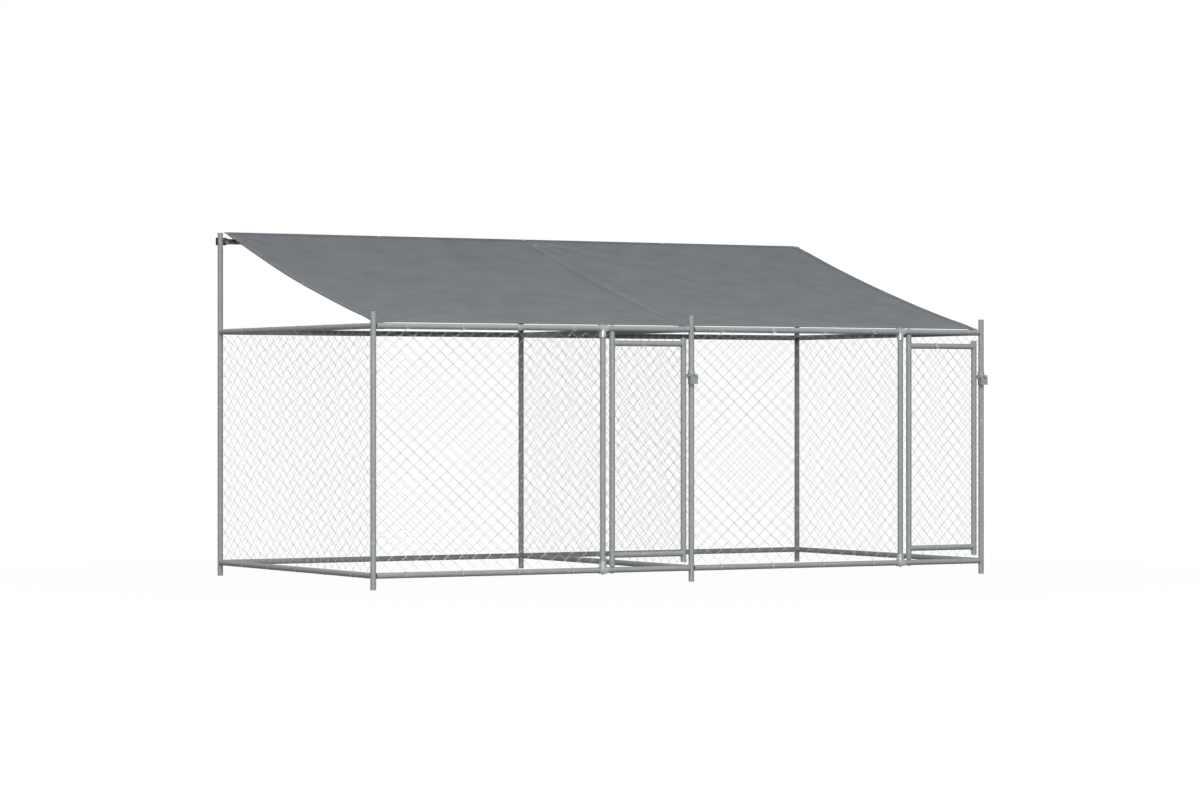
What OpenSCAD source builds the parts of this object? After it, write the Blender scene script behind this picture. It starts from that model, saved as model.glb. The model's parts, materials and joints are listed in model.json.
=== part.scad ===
// Outdoor dog kennel run: two bays of galvanised tube and chain-link net,
// a swinging door with a slide bolt in each bay and a sloping tarpaulin roof.
// Sizes are in millimetres. +Z is up, +X runs along the length, the doors face -Y,
// and the origin lies on the floor under the middle of the run.

/* [Frame] */
// Distance between the end posts' axes, along the length
frame_l = 4000; // [3600:50:4400]
// Distance between the front and back posts' axes
frame_w = 2000; // [1800:50:2200]
// Height of the front posts
front_h = 1500; // [1400:10:1600]
// Height of the back posts
back_h = 2000; // [1900:10:2200]
// Outer diameter of every frame tube
tube_d = 32; // [30:0.5:34]
// Wall thickness of every frame tube
tube_wall = 1.5; // [1.2:0.1:2]
// Drop from the front posts' tops to the top rails' axes
top_rail_drop = 78; // [60:1:100]
// Height of the bottom rails' axes
bottom_rail_z = 77; // [60:1:110]
// Drop from the back posts' tops to the roof rails' axes
roof_rail_drop = 50; // [46:1:80]

/* [Doors] */
// Distance between a door's two stile axes
door_w = 464; // [400:1:560]
// Distance from the fixed stud's axis to the door's hinge axis
stud_gap = 60; // [54:1:80]
// Distance from the door's latch stile axis to the post's axis
latch_gap = 52; // [51:0.5:56]
// Drop from the top rail's axis to the door's top rail axis
door_drop = 82; // [70:1:120]
// Rise from the bottom rail's axis to the door's bottom rail axis
door_rise = 83; // [75:1:120]
// Length of the latch stile above the door's top rail axis
stile_over = 34; // [25:1:40]
// Length of the latch stile below the door's bottom rail axis
stile_under = 48; // [30:1:52]
// Radius of the hinge pins
pin_r = 6; // [5:0.5:7]
// Depth of the bushes in the hinge stile
bush_h = 35; // [25:1:50]
// Height left for the collar between the hinge stile and each rail
collar_h = 5; // [4:0.5:8]

/* [Latches] */
// Drop from the top rail's axis to the bolt's axis
latch_drop = 261; // [245:1:285]
// Radius of the sliding bolt
bolt_r = 5; // [4:0.5:6]
// Travel of the sliding bolt
bolt_throw = 16; // [12:0.5:17]
// Width of the case that guides the bolt
case_w = 48; // [46:1:50]
// Wall of the latch's sleeve and stop
latch_wall = 3; // [2.5:0.25:3.5]
// Thickness of the keeper plate
keeper_t = 4; // [3:0.5:5]

/* [Fittings] */
// Wall of the tee fittings
tee_wall = 3.7; // [3:0.1:3.7]
// Length of a tee's sleeve along the rail
tee_l = 50; // [44:1:60]
// Reach of a tee's socket along the stud, from the rail's axis
tee_reach = 48; // [44:1:60]
// Radius of the roof rail's end collars
collar_r = 23; // [20:0.5:25]
// Outer radius of the black clips behind the corner posts
clip_r = 27; // [25:0.5:29]
// Length of the spigot inside each rail end
spigot_l = 75; // [70:1:90]
// Distance from a post's axis to a rail's end screw
screw_x = 76; // [74:0.5:80]

/* [Chain-link net] */
// Diameter of the net's wire
wire_d = 2.5; // [2:0.1:3]
// Number of wires across a full bay
net_cols = 30; // [26:2:30]
// Number of half diamonds up a panel
net_rows = 20; // [20:2:22]
// Number of wires across a door
door_cols = 7; // [5:2:7]
// Number of half diamonds up a door
door_rows = 18; // [18:2:20]
// Space from a tube's face to the net's edge
net_gap = 7; // [6.5:0.1:9]
// Overlap of neighbouring wires where they hook together
hook = 2; // [1:0.1:3]
// Radius of the tie wire
tie_r = 1; // [0.8:0.1:1.2]

/* [Roof] */
// Thickness of the tarpaulin
tarp_t = 1.2; // [0.8:0.1:2]
// Sag of the tarpaulin at the middle of its slope
tarp_sag = 30; // [0:1:40]
// Width of the straps that hold the front hem
strap_w = 46; // [30:1:50]
// Radius of the cords that hold the back hem
cord_r = 3; // [2:0.25:4]

/* [Hidden] */

$fn = 48;
// Clearance between pieces that are fastened together
fit = 0.3;
// Radial clearance of a pin or bolt that turns or slides in its bore
run_fit = 0.05;
tube_r = tube_d / 2;
bore_r = tube_r - tube_wall;
seat_r = tube_r + fit;
bay = frame_l / 2;

// Heights
top_z = front_h - top_rail_drop;
roof_z = back_h - roof_rail_drop;
door_top_z = top_z - door_drop;
door_bottom_z = bottom_rail_z + door_rise;
stile_low_z = bottom_rail_z + tube_r + collar_h;
stile_high_z = top_z - tube_r - collar_h;
latch_z = top_z - latch_drop;

// Latch sizes, measured from the axis of the post that carries it
sleeve_r = seat_r + latch_wall;
bolt_y = -(seat_r + bolt_r + 4);
case_front = bolt_y - bolt_r - 2.7;
case_back = -4.5;
case_up = 10;
case_down = 46;
taper_h = 20;
handle_r = 3.5;
handle_l = 12.7;
grip_r = 5.5;
stop_h = 14;
keeper_h = 20;
keeper_x = -latch_gap + 8;
eye_r = bolt_r + 2;
tip_gap = 1.5;
// Drawn back, the bolt's tip stays clear of the latch stile's swing
bolt_tip = tube_r - latch_gap + tip_gap;
handle_x = bolt_throw / 2;

// Set bolts: along a tee's socket from the rail's axis, and on a latch sleeve from the bolt's axis
tee_bolt_z = -36;
latch_bolt_z = [-6, -36];
set_bolt_r = 4;

// The frame stands so that the whole run is centred on the origin
front_reach = -bolt_y + handle_l + grip_r;
shift_y = (front_reach - clip_r) / 2;
front_y = shift_y - frame_w / 2;
back_y = shift_y + frame_w / 2;
post_x = [-bay, 0, bay];

// Door stations, measured from the post that carries the latch
hinge_x = -latch_gap - door_w;
stud_x = hinge_x - stud_gap;

// Net sizes
net_inset = tube_r + net_gap;
net_h = top_z - bottom_rail_z - 2 * net_inset;
bay_net_w = bay - 2 * net_inset;
side_net_w = frame_w - 2 * net_inset;
front_net_w = bay + stud_x - 2 * net_inset;
door_net_w = door_w - 2 * net_inset;
door_net_h = door_top_z - door_bottom_z - 2 * net_inset;
// An odd number of wires sets the front panel's ties level with its odd rows
front_cols = 2 * floor(front_net_w / bay_net_w * net_cols / 2) + 1;

// Rows and columns of the net that get a tie. The side and divider nets start on the other
// half diamond, so that their ties sit between those of the front and back nets on a shared post
cross_phase = 1;
near_rows = [4, 10, 18];
far_rows = [2, 8, 14];
stud_rows = [3, 9, 15];
cross_rows = [5, 11];
door_near_rows = [4, 10, 16];
door_far_rows = [3, 9, 15];
tie_cols = [4, 10, 16, 22];
cross_tie_cols = [5, 11, 17, 23];
front_tie_cols = [4, 10, 16];
door_tie_cols = [2, 4];

// Every rail: start, end, height and the side that its screws enter
RAILS = [
    [[-bay, front_y], [-bay, back_y], top_z, -1],
    [[-bay, front_y], [-bay, back_y], bottom_rail_z, -1],
    [[bay, front_y], [bay, back_y], top_z, 1],
    [[bay, front_y], [bay, back_y], bottom_rail_z, 1],
    [[0, front_y], [0, back_y], top_z, 1],
    [[0, front_y], [0, back_y], bottom_rail_z, 1],
    [[-bay, back_y], [0, back_y], top_z, -1],
    [[-bay, back_y], [0, back_y], bottom_rail_z, -1],
    [[0, back_y], [bay, back_y], top_z, -1],
    [[0, back_y], [bay, back_y], bottom_rail_z, -1],
    [[-bay, front_y], [0, front_y], top_z, 1],
    [[-bay, front_y], [0, front_y], bottom_rail_z, 1],
    [[0, front_y], [bay, front_y], top_z, 1],
    [[0, front_y], [bay, front_y], bottom_rail_z, 1],
    [[-bay, back_y], [0, back_y], roof_z, -1],
    [[0, back_y], [bay, back_y], roof_z, -1]
];

// Roof sizes
tarp_w = frame_l - tube_d - 2;
tarp_front_y = front_y + tube_r + 0.5;
tarp_back_y = back_y - tube_r - 0.5;
tarp_front_z = top_z + tube_r + 3;
tarp_back_z = back_h + 2;
tarp_steps = 24;
strap_t = 1.2;
cord_x = seat_r + cord_r + 0.9;
cord_wrap = 2 * cord_r + 1;
cord_ring_r = seat_r + cord_wrap / 2;
cord_reach = 133;
cord_ball_r = 6;

// Finishes
zinc = [0.66, 0.68, 0.69];
bright_zinc = [0.80, 0.81, 0.82];
net_zinc = [0.74, 0.76, 0.77];
tarp_grey = [0.45, 0.47, 0.48];
strap_grey = [0.60, 0.61, 0.62];
black = [0.08, 0.08, 0.09];
nylon = [0.85, 0.85, 0.82];

// Height of the tarpaulin's underside at a fraction of its slope
function tarp_z(t) = tarp_front_z + (tarp_back_z - tarp_front_z) * t - 4 * tarp_sag * t * (1 - t);

// Fraction of the slope at a place along Y
function tarp_t_at(y) = (y - tarp_front_y) / (tarp_back_y - tarp_front_y);

// Place of the bend of a net wire on one row, hooked past its neighbour inside the panel
function bend(i, k, pitch, cols, rows, phase) =
    let (right = (i + k + phase) % 2)
    let (free = k == 0 || k == rows || (right == 0 && i == 0) || (right == 1 && i == cols - 1))
    (i + right) * pitch + (free ? 0 : (right == 1 ? hook : -hook));

// A straight tube standing on z = 0
module tube(h) {
    difference() {
        cylinder(h = h, r = tube_r);
        translate([0, 0, -1])
            cylinder(h = h + 2, r = bore_r);
    }
}

// A round rod between two points
module rod(a, b, r) {
    v = b - a;
    flat = norm([v[0], v[1]]);
    translate(a)
        rotate([0, atan2(flat, v[2]), atan2(v[1], v[0])])
            cylinder(h = norm(v), r = r);
}

// Places its children on a rail, with X along the rail from its first post's axis
module on_rail(i) {
    v = RAILS[i][1] - RAILS[i][0];
    translate([RAILS[i][0][0], RAILS[i][0][1], RAILS[i][2]])
        rotate([0, 0, atan2(v[1], v[0])])
            children();
}

function rail_span(i) = norm(RAILS[i][1] - RAILS[i][0]);

// A rail cut square between two posts, with a hole for the screw at each end
module rail_tube(i) {
    span = rail_span(i);
    on_rail(i)
        difference() {
            translate([seat_r, 0, 0])
                rotate([0, 90, 0])
                    tube(span - 2 * seat_r);
            for (x = [screw_x, span - screw_x])
                translate([x, 0, 0])
                    rotate([-90 * RAILS[i][3], 0, 0])
                        cylinder(h = tube_d, r = 2.7);
        }
}

module rail(i) {
    color(zinc)
        rail_tube(i);
}

// A front rail is also drilled for its door's hinge pin
module front_rail(i, post) {
    color(zinc)
        difference() {
            rail_tube(i);
            translate([post + hinge_x, front_y, RAILS[i][2] - tube_d])
                cylinder(h = 2 * tube_d, r = pin_r + fit);
        }
}

// A roof rail carries a collar beside each post
module roof_rail(i) {
    span = rail_span(i);
    collar_l = 10;
    collar_gap = 9.7;
    color(zinc)
        difference() {
            union() {
                rail_tube(i);
                for (x = [seat_r + collar_gap, span - seat_r - collar_gap - collar_l])
                    on_rail(i)
                        translate([x, 0, 0])
                            rotate([0, 90, 0])
                                cylinder(h = collar_l, r = collar_r);
            }
            on_rail(i)
                rotate([0, 90, 0])
                    cylinder(h = span, r = bore_r);
        }
}

// The spigot and screw inside each end of every rail
module rail_joint(i, x, toward) {
    on_rail(i)
        translate([x, 0, 0])
            rotate([0, 0, toward > 0 ? 0 : 180]) {
                translate([seat_r, 0, 0])
                    rotate([0, 90, 0])
                        difference() {
                            cylinder(h = spigot_l, r = bore_r - fit);
                            translate([0, 0, -1])
                                cylinder(h = spigot_l + 2, r = bore_r - fit - 2);
                        }
                translate([screw_x, 0, 0])
                    rotate([-90 * RAILS[i][3] * toward, 0, 0]) {
                        translate([0, 0, bore_r])
                            cylinder(h = tube_wall + fit + 1, r = 2.4);
                        translate([0, 0, seat_r])
                            cylinder(h = 2.6, r1 = 4.75, r2 = 3.5);
                    }
            }
}

module rail_joints() {
    color(bright_zinc)
        for (i = [0 : len(RAILS) - 1]) {
            rail_joint(i, 0, 1);
            rail_joint(i, rail_span(i), -1);
        }
}

// A post standing on the floor
module post(x, y, h) {
    color(zinc)
        translate([x, y, 0])
            tube(h);
}

// Black clip that hugs the back of a corner post beside the roof rail's end, which lies on +X
module clip() {
    edge = 4;
    rail_side = seat_r - 1;
    translate([0, 0, -collar_r])
        difference() {
            rotate_extrude()
                polygon([
                    [seat_r, 0], [clip_r - edge, 0], [clip_r, edge],
                    [clip_r, 2 * collar_r - edge], [clip_r - edge, 2 * collar_r], [seat_r, 2 * collar_r]
                ]);
            translate([-2 * clip_r, -2 * clip_r, -1])
                cube([4 * clip_r, 2 * clip_r, 2 * collar_r + 2]);
            translate([rail_side, -1, -1])
                cube([clip_r, 2 * clip_r, 2 * collar_r + 2]);
        }
}

module roof_clips() {
    color(black) {
        translate([-bay, back_y, roof_z])
            clip();
        translate([bay, back_y, roof_z])
            mirror([1, 0, 0])
                clip();
    }
}

// The fixed stud beside a door, standing between the two front rails
module stud(post) {
    color(zinc)
        translate([post + stud_x, front_y, bottom_rail_z + seat_r])
            tube(top_z - bottom_rail_z - 2 * seat_r);
}

// Tee fitting: a sleeve on the rail with a socket that hangs down over the stud
module tee() {
    difference() {
        union() {
            translate([-tee_l / 2, 0, 0])
                rotate([0, 90, 0])
                    cylinder(h = tee_l, r = seat_r + tee_wall);
            translate([0, 0, -tee_reach])
                cylinder(h = tee_reach, r = seat_r + tee_wall);
        }
        translate([-tee_l / 2 - 1, 0, 0])
            rotate([0, 90, 0])
                cylinder(h = tee_l + 2, r = seat_r);
        translate([0, 0, -tee_reach - 1])
            cylinder(h = tee_reach + 1, r = seat_r);
        cylinder(h = tube_d, r = set_bolt_r + fit);
        translate([0, 0, tee_bolt_z])
            rotate([90, 0, 0])
                cylinder(h = tube_d, r = set_bolt_r + fit);
    }
}

// Hexagon-headed bolt whose point stands on the tube, pointing along -Z
module set_bolt(wall) {
    translate([0, 0, seat_r])
        cylinder(h = wall + 1, r = set_bolt_r);
    translate([0, 0, seat_r + wall + fit])
        cylinder(h = 5.5, r = 7.5, $fn = 6);
}

// Places its children at the top and bottom of both studs, with the stud below
module at_tees() {
    for (post = [0, bay]) {
        translate([post + stud_x, front_y, top_z])
            children();
        translate([post + stud_x, front_y, bottom_rail_z])
            mirror([0, 0, 1])
                children();
    }
}

module tee_fittings() {
    color(bright_zinc)
        at_tees()
            tee();
}

module set_bolts() {
    color(bright_zinc) {
        at_tees() {
            set_bolt(tee_wall);
            translate([0, 0, tee_bolt_z])
                rotate([90, 0, 0])
                    set_bolt(tee_wall);
        }
        for (post = [0, bay])
            for (z = latch_bolt_z)
                translate([post, front_y, latch_z + z])
                    rotate([0, 90, 45])
                        set_bolt(latch_wall);
    }
}

// Hinge pin with a low head outside the rail and a collar that the stile turns on
module hinge_pin() {
    translate([0, 0, -seat_r - 3.5])
        cylinder(h = 3.5, r1 = 7, r2 = 9);
    translate([0, 0, -seat_r - 1])
        cylinder(h = seat_r + 1 + tube_r + collar_h + bush_h - 1, r = pin_r);
    translate([0, 0, seat_r])
        cylinder(h = collar_h - 2 * fit, r = 12);
}

module hinge_pins() {
    color(bright_zinc)
        for (post = [0, bay]) {
            translate([post + hinge_x, front_y, bottom_rail_z])
                hinge_pin();
            translate([post + hinge_x, front_y, top_z])
                mirror([0, 0, 1])
                    hinge_pin();
        }
}

// One zigzag wire, drawn flat with X across the panel
module net_wire(i, cols, rows, px, pz, phase) {
    half = wire_d / 2 * norm([px, pz]) / pz;
    path = [for (k = [0 : rows]) [bend(i, k, px, cols, rows, phase), k * pz]];
    polygon(concat(
        [for (k = [0 : rows]) path[k] + [half, 0]],
        [for (k = [rows : -1 : 0]) path[k] - [half, 0]]
    ));
}

// Chain-link panel in the XZ plane: odd and even wires lie back to back
module net(w, h, cols, rows, phase = 0) {
    layer = fit / 2;
    for (i = [0 : cols - 1])
        translate([0, (i % 2 == 0 ? -layer : wire_d + layer), 0])
            rotate([90, 0, 0])
                linear_extrude(height = wire_d)
                    net_wire(i, cols, rows, w / cols, h / rows, phase);
}

// Ring of tie wire about a tube along Y that reaches +X past the bend of a net wire
module tie(half_angle) {
    far = seat_r + tie_r;
    reach = tube_r + net_gap + (wire_d / 2 + tie_r + fit) / sin(half_angle);
    ring_r = (far + reach) / 2;
    translate([ring_r - far, 0, 0])
        rotate([90, 0, 0])
            rotate_extrude()
                translate([ring_r, 0])
                    circle(r = tie_r, $fn = 16);
}

// Ties along the four edges of a net panel
module panel_ties(w, h, cols, rows, left_rows, right_rows, bottom_cols, top_cols) {
    px = w / cols;
    pz = h / rows;
    side_angle = atan2(pz, px);
    for (k = left_rows)
        translate([-net_inset, 0, k * pz])
            rotate([90, 0, 0])
                tie(side_angle);
    for (k = right_rows)
        translate([w + net_inset, 0, k * pz])
            rotate([90, 0, 180])
                tie(side_angle);
    for (j = bottom_cols)
        translate([j * px, 0, -net_inset])
            rotate([0, -90, 90])
                tie(90 - side_angle);
    for (j = top_cols)
        translate([j * px, 0, h + net_inset])
            rotate([0, 90, 90])
                tie(90 - side_angle);
}

// Places its children at the lower left corner of a fixed panel's net
module at_side(x) {
    translate([x, front_y + net_inset, bottom_rail_z + net_inset])
        rotate([0, 0, 90])
            children();
}

module at_back(x) {
    translate([x + net_inset, back_y, bottom_rail_z + net_inset])
        children();
}

module at_front(x) {
    translate([x + net_inset, front_y, bottom_rail_z + net_inset])
        children();
}

module side_net(x) {
    color(net_zinc)
        at_side(x)
            net(side_net_w, net_h, net_cols, net_rows, cross_phase);
}

module back_net(x) {
    color(net_zinc)
        at_back(x)
            net(bay_net_w, net_h, net_cols, net_rows);
}

module front_net(x) {
    color(net_zinc)
        at_front(x)
            net(front_net_w, net_h, front_cols, net_rows);
}

module net_ties() {
    color(net_zinc) {
        for (x = post_x)
            at_side(x)
                panel_ties(side_net_w, net_h, net_cols, net_rows, cross_rows, cross_rows,
                    cross_tie_cols, cross_tie_cols);
        for (x = [-bay, 0]) {
            at_back(x)
                panel_ties(bay_net_w, net_h, net_cols, net_rows, near_rows, far_rows, tie_cols, tie_cols);
            at_front(x)
                panel_ties(front_net_w, net_h, front_cols, net_rows, near_rows, stud_rows,
                    front_tie_cols, front_tie_cols);
        }
    }
}

// Slide bolt housing: a sleeve on the post, the case that guides the bolt and the door stop
module latch_housing(post) {
    slot = handle_r + fit;
    color(zinc)
        translate([post, front_y, latch_z])
            difference() {
                union() {
                    translate([0, 0, -case_down])
                        cylinder(h = case_down + case_up + taper_h, r = sleeve_r);
                    translate([0, 0, case_up - 0.5])
                        cylinder(h = taper_h, r1 = sleeve_r + 3, r2 = sleeve_r - 1);
                    translate([-case_w / 2, case_front, -case_down])
                        cube([case_w, case_back - case_front, case_down + case_up]);
                    translate([-latch_gap - 4, seat_r, -stop_h / 2])
                        cube([latch_gap + 4, latch_wall, stop_h]);
                }
                translate([0, 0, -case_down - 1])
                    cylinder(h = case_down + case_up + taper_h + 2, r = seat_r);
                translate([-case_w / 2 - 1, bolt_y, 0])
                    rotate([0, 90, 0])
                        cylinder(h = case_w + 2, r = bolt_r + run_fit);
                translate([-handle_x - slot, case_front - 1, -slot])
                    cube([2 * handle_x + 2 * slot, bolt_y - case_front + 1, 2 * slot]);
                for (z = latch_bolt_z)
                    translate([0, 0, z])
                        rotate([0, 90, 45])
                            cylinder(h = tube_d, r = set_bolt_r + fit);
            }
}

// Sliding bolt with the handle that stands out through the case's slot
module bolt(post) {
    tail = case_w / 2 - 2;
    color(bright_zinc)
        translate([post, front_y + bolt_y, latch_z]) {
            translate([bolt_tip, 0, 0])
                rotate([0, 90, 0])
                    cylinder(h = tail - bolt_tip, r = bolt_r);
            translate([handle_x, 0, 0])
                rotate([90, 0, 0])
                    cylinder(h = handle_l, r = handle_r);
            translate([handle_x, -handle_l, 0])
                sphere(r = grip_r);
        }
}

// Keeper plate on the latch stile, with an eye for the bolt
module keeper(post) {
    color(bright_zinc)
        translate([post, front_y, latch_z])
            difference() {
                union() {
                    translate([keeper_x - keeper_t / 2, bolt_y, -keeper_h / 2])
                        cube([keeper_t, -bolt_y, keeper_h]);
                    translate([keeper_x - keeper_t / 2, bolt_y, 0])
                        rotate([0, 90, 0])
                            cylinder(h = keeper_t, r = keeper_h / 2);
                }
                translate([keeper_x - keeper_t, bolt_y, 0])
                    rotate([0, 90, 0])
                        cylinder(h = 2 * keeper_t, r = eye_r);
                translate([-latch_gap, 0, -keeper_h])
                    cylinder(h = 2 * keeper_h, r = seat_r);
            }
}

// Door tubes
module hinge_stile(post) {
    color(zinc)
        translate([post + hinge_x, front_y, stile_low_z])
            tube(stile_high_z - stile_low_z);
}

module latch_stile(post) {
    color(zinc)
        translate([post - latch_gap, front_y, door_bottom_z - stile_under])
            tube(door_top_z + stile_over - door_bottom_z + stile_under);
}

// A door rail, its ends cut to saddle the two stiles
module door_rail(post, z) {
    color(zinc)
        translate([post + hinge_x, front_y, z])
            difference() {
                rotate([0, 90, 0])
                    tube(door_w);
                for (x = [0, door_w])
                    translate([x, 0, -tube_d])
                        cylinder(h = 2 * tube_d, r = seat_r);
            }
}

module door_net(post) {
    color(net_zinc)
        translate([post + hinge_x + net_inset, front_y, door_bottom_z + net_inset])
            net(door_net_w, door_net_h, door_cols, door_rows);
}

module door_ties(post) {
    color(net_zinc)
        translate([post + hinge_x + net_inset, front_y, door_bottom_z + net_inset])
            panel_ties(door_net_w, door_net_h, door_cols, door_rows, door_near_rows, door_far_rows,
                door_tie_cols, door_tie_cols);
}

// Bushes in the two ends of the hinge stile
module door_bushes(post) {
    color(nylon)
        for (z = [stile_low_z, stile_high_z - bush_h])
            translate([post + hinge_x, front_y, z])
                difference() {
                    cylinder(h = bush_h, r = bore_r - fit);
                    translate([0, 0, -1])
                        cylinder(h = bush_h + 2, r = pin_r + run_fit);
                }
}

// Tarpaulin: one sheet that sags between its front and back hems
module roof_tarp() {
    depth = tarp_back_y - tarp_front_y;
    low = [for (k = [0 : tarp_steps]) [tarp_front_y + depth * k / tarp_steps, tarp_z(k / tarp_steps)]];
    high = [for (k = [tarp_steps : -1 : 0]) low[k] + [0, tarp_t]];
    color(tarp_grey)
        translate([-tarp_w / 2, 0, 0])
            rotate([90, 0, 90])
                linear_extrude(height = tarp_w)
                    polygon(concat(low, high));
}

// Strap about the front rail with a tongue under the tarpaulin's hem
module strap(x) {
    tongue = 30;
    far = tarp_z(tarp_t_at(tarp_front_y + tongue)) - fit;
    near = tarp_z(0) - fit;
    translate([x, 0, 0])
        difference() {
            union() {
                translate([0, front_y, top_z])
                    rotate([0, 90, 0])
                        cylinder(h = strap_w, r = seat_r + strap_t);
                rotate([90, 0, 90])
                    linear_extrude(height = strap_w)
                        polygon([
                            [front_y, top_z + tube_r - 1],
                            [tarp_front_y, near - strap_t], [tarp_front_y + tongue, far - strap_t],
                            [tarp_front_y + tongue, far], [tarp_front_y, near],
                            [front_y, top_z + seat_r + strap_t - 0.2]
                        ]);
            }
            translate([-1, front_y, top_z])
                rotate([0, 90, 0])
                    cylinder(h = strap_w + 2, r = seat_r);
        }
}

// Cord looped about the roof rail beside a back post and drawn forward under the tarpaulin
module cord(post, side) {
    x = post + side * cord_x;
    start = [x, back_y, roof_z + cord_ring_r];
    end_y = back_y - cord_reach;
    end_z = tarp_z(tarp_t_at(end_y)) - cord_ball_r - fit - 1;
    end = [x + side * 4, end_y, end_z];
    translate([x - cord_wrap / 2, back_y, roof_z])
        rotate([0, 90, 0])
            difference() {
                cylinder(h = cord_wrap, r = seat_r + cord_wrap);
                translate([0, 0, -1])
                    cylinder(h = cord_wrap + 2, r = seat_r);
            }
    rod(start, end, cord_r);
    translate(end)
        sphere(r = cord_ball_r);
}

module tarp_ties() {
    color(strap_grey) {
        strap(-bay + seat_r + 2);
        strap(-seat_r - 2 - strap_w);
        strap(bay - seat_r - 2 - strap_w);
    }
    color(black) {
        cord(-bay, 1);
        cord(0, 1);
        cord(bay, -1);
    }
}

post(-bay, front_y, front_h);  // post_front_left
post(0, front_y, front_h);  // post_front_mid
post(bay, front_y, front_h);  // post_front_right
post(-bay, back_y, back_h);  // post_back_left
post(0, back_y, back_h);  // post_back_mid
post(bay, back_y, back_h);  // post_back_right
rail(0);  // side_left_top_rail
rail(1);  // side_left_bottom_rail
rail(2);  // side_right_top_rail
rail(3);  // side_right_bottom_rail
rail(4);  // divider_top_rail
rail(5);  // divider_bottom_rail
rail(6);  // back_left_top_rail
rail(7);  // back_left_bottom_rail
rail(8);  // back_right_top_rail
rail(9);  // back_right_bottom_rail
front_rail(10, 0);  // front_left_top_rail
front_rail(11, 0);  // front_left_bottom_rail
front_rail(12, bay);  // front_right_top_rail
front_rail(13, bay);  // front_right_bottom_rail
roof_rail(14);  // roof_rail_left
roof_rail(15);  // roof_rail_right
roof_clips();
rail_joints();
stud(0);  // stud_left
stud(bay);  // stud_right
tee_fittings();
set_bolts();
hinge_pins();
side_net(-bay);  // net_side_left
side_net(bay);  // net_side_right
side_net(0);  // net_divider
back_net(-bay);  // net_back_left
back_net(0);  // net_back_right
front_net(-bay);  // net_front_left
front_net(0);  // net_front_right
net_ties();
latch_housing(0);  // latch_housing_left
latch_housing(bay);  // latch_housing_right
roof_tarp();
tarp_ties();
hinge_stile(0);  // door_left_hinge_stile
latch_stile(0);  // door_left_latch_stile
door_rail(0, door_top_z);  // door_left_top_rail
door_rail(0, door_bottom_z);  // door_left_bottom_rail
door_net(0);  // door_left_net
door_ties(0);  // door_left_ties
door_bushes(0);  // door_left_bushes
keeper(0);  // door_left_keeper
hinge_stile(bay);  // door_right_hinge_stile
latch_stile(bay);  // door_right_latch_stile
door_rail(bay, door_top_z);  // door_right_top_rail
door_rail(bay, door_bottom_z);  // door_right_bottom_rail
door_net(bay);  // door_right_net
door_ties(bay);  // door_right_ties
door_bushes(bay);  // door_right_bushes
keeper(bay);  // door_right_keeper
bolt(0);  // bolt_left
bolt(bay);  // bolt_right
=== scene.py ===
"""Dresses the frame of a two-bay dog kennel run: galvanised tube, chain-link net and a tarpaulin roof."""

import json
import math
from types import SimpleNamespace

import bpy
from mathutils import Matrix, Vector


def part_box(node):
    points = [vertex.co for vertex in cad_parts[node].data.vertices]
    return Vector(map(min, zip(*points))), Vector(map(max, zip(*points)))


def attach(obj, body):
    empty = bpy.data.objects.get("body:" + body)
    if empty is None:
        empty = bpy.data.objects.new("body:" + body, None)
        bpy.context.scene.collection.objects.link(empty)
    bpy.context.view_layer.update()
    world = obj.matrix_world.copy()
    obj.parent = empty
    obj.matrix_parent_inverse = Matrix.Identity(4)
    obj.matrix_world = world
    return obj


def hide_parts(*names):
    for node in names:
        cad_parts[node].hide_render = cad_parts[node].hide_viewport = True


bl_info = {
    "name": "Dog Kennel Run",
    "version": (1, 0, 0),
    "blender": (4, 5, 0),
    "location": "View3D > Sidebar > Kennel",
    "description": "Chain-link, tarpaulin, ties and finishes for a two-bay dog kennel run",
    "category": "Add Mesh",
}

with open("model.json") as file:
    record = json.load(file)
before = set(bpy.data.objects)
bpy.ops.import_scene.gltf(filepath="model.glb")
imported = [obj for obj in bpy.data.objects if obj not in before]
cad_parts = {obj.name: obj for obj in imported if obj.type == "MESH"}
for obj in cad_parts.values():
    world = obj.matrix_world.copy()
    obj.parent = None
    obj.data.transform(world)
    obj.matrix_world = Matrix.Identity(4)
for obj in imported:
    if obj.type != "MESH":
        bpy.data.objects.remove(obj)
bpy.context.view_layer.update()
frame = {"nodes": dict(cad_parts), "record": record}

# Tube and station sizes, in metres, read from the frame's own nodes
POST_LO, POST_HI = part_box("post_front_left")
TUBE_R = (POST_HI.x - POST_LO.x) / 2
BAY = -(POST_LO.x + TUBE_R)
FRONT_Y = (POST_LO.y + POST_HI.y) / 2
BACK_Y = sum(corner.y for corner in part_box("post_back_left")) / 2
TOP_Z = sum(corner.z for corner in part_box("front_left_top_rail")) / 2
BACK_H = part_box("post_back_left")[1].z
ROOF_Z = sum(corner.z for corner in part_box("roof_rail_left")) / 2
TARP_LO, TARP_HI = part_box("roof_tarp")
LATCH_Z = sum(corner.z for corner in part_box("door_left_keeper")) / 2

# Clearance of what grips a tube
SEAT = 0.0003
# Height of the tarpaulin's underside above the front rail and above the back posts
TARP_ON_RAIL = 0.003
TARP_ON_POST = 0.002
# Cells of the tarpaulin's grid along X and along Y
TARP_CELLS = (280, 120)
# Width of a strap on the front rail, and its place beside the axis of its post
STRAP_W = 0.046
STRAP_SIDE = 0.0413
STRAP_X = [-BAY + STRAP_SIDE, -STRAP_SIDE, BAY - STRAP_SIDE]
# From the axis of a back post: a cord's loop beside it, and the cord's knot in front of it and beside it
CORD_X = 0.0202
CORD_REACH = 0.133
CORD_SIDE = 0.0242

# Width of one band of the wave texture at a scale of 1, in metres
WAVE_BAND = 2 * math.pi / 20

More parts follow.
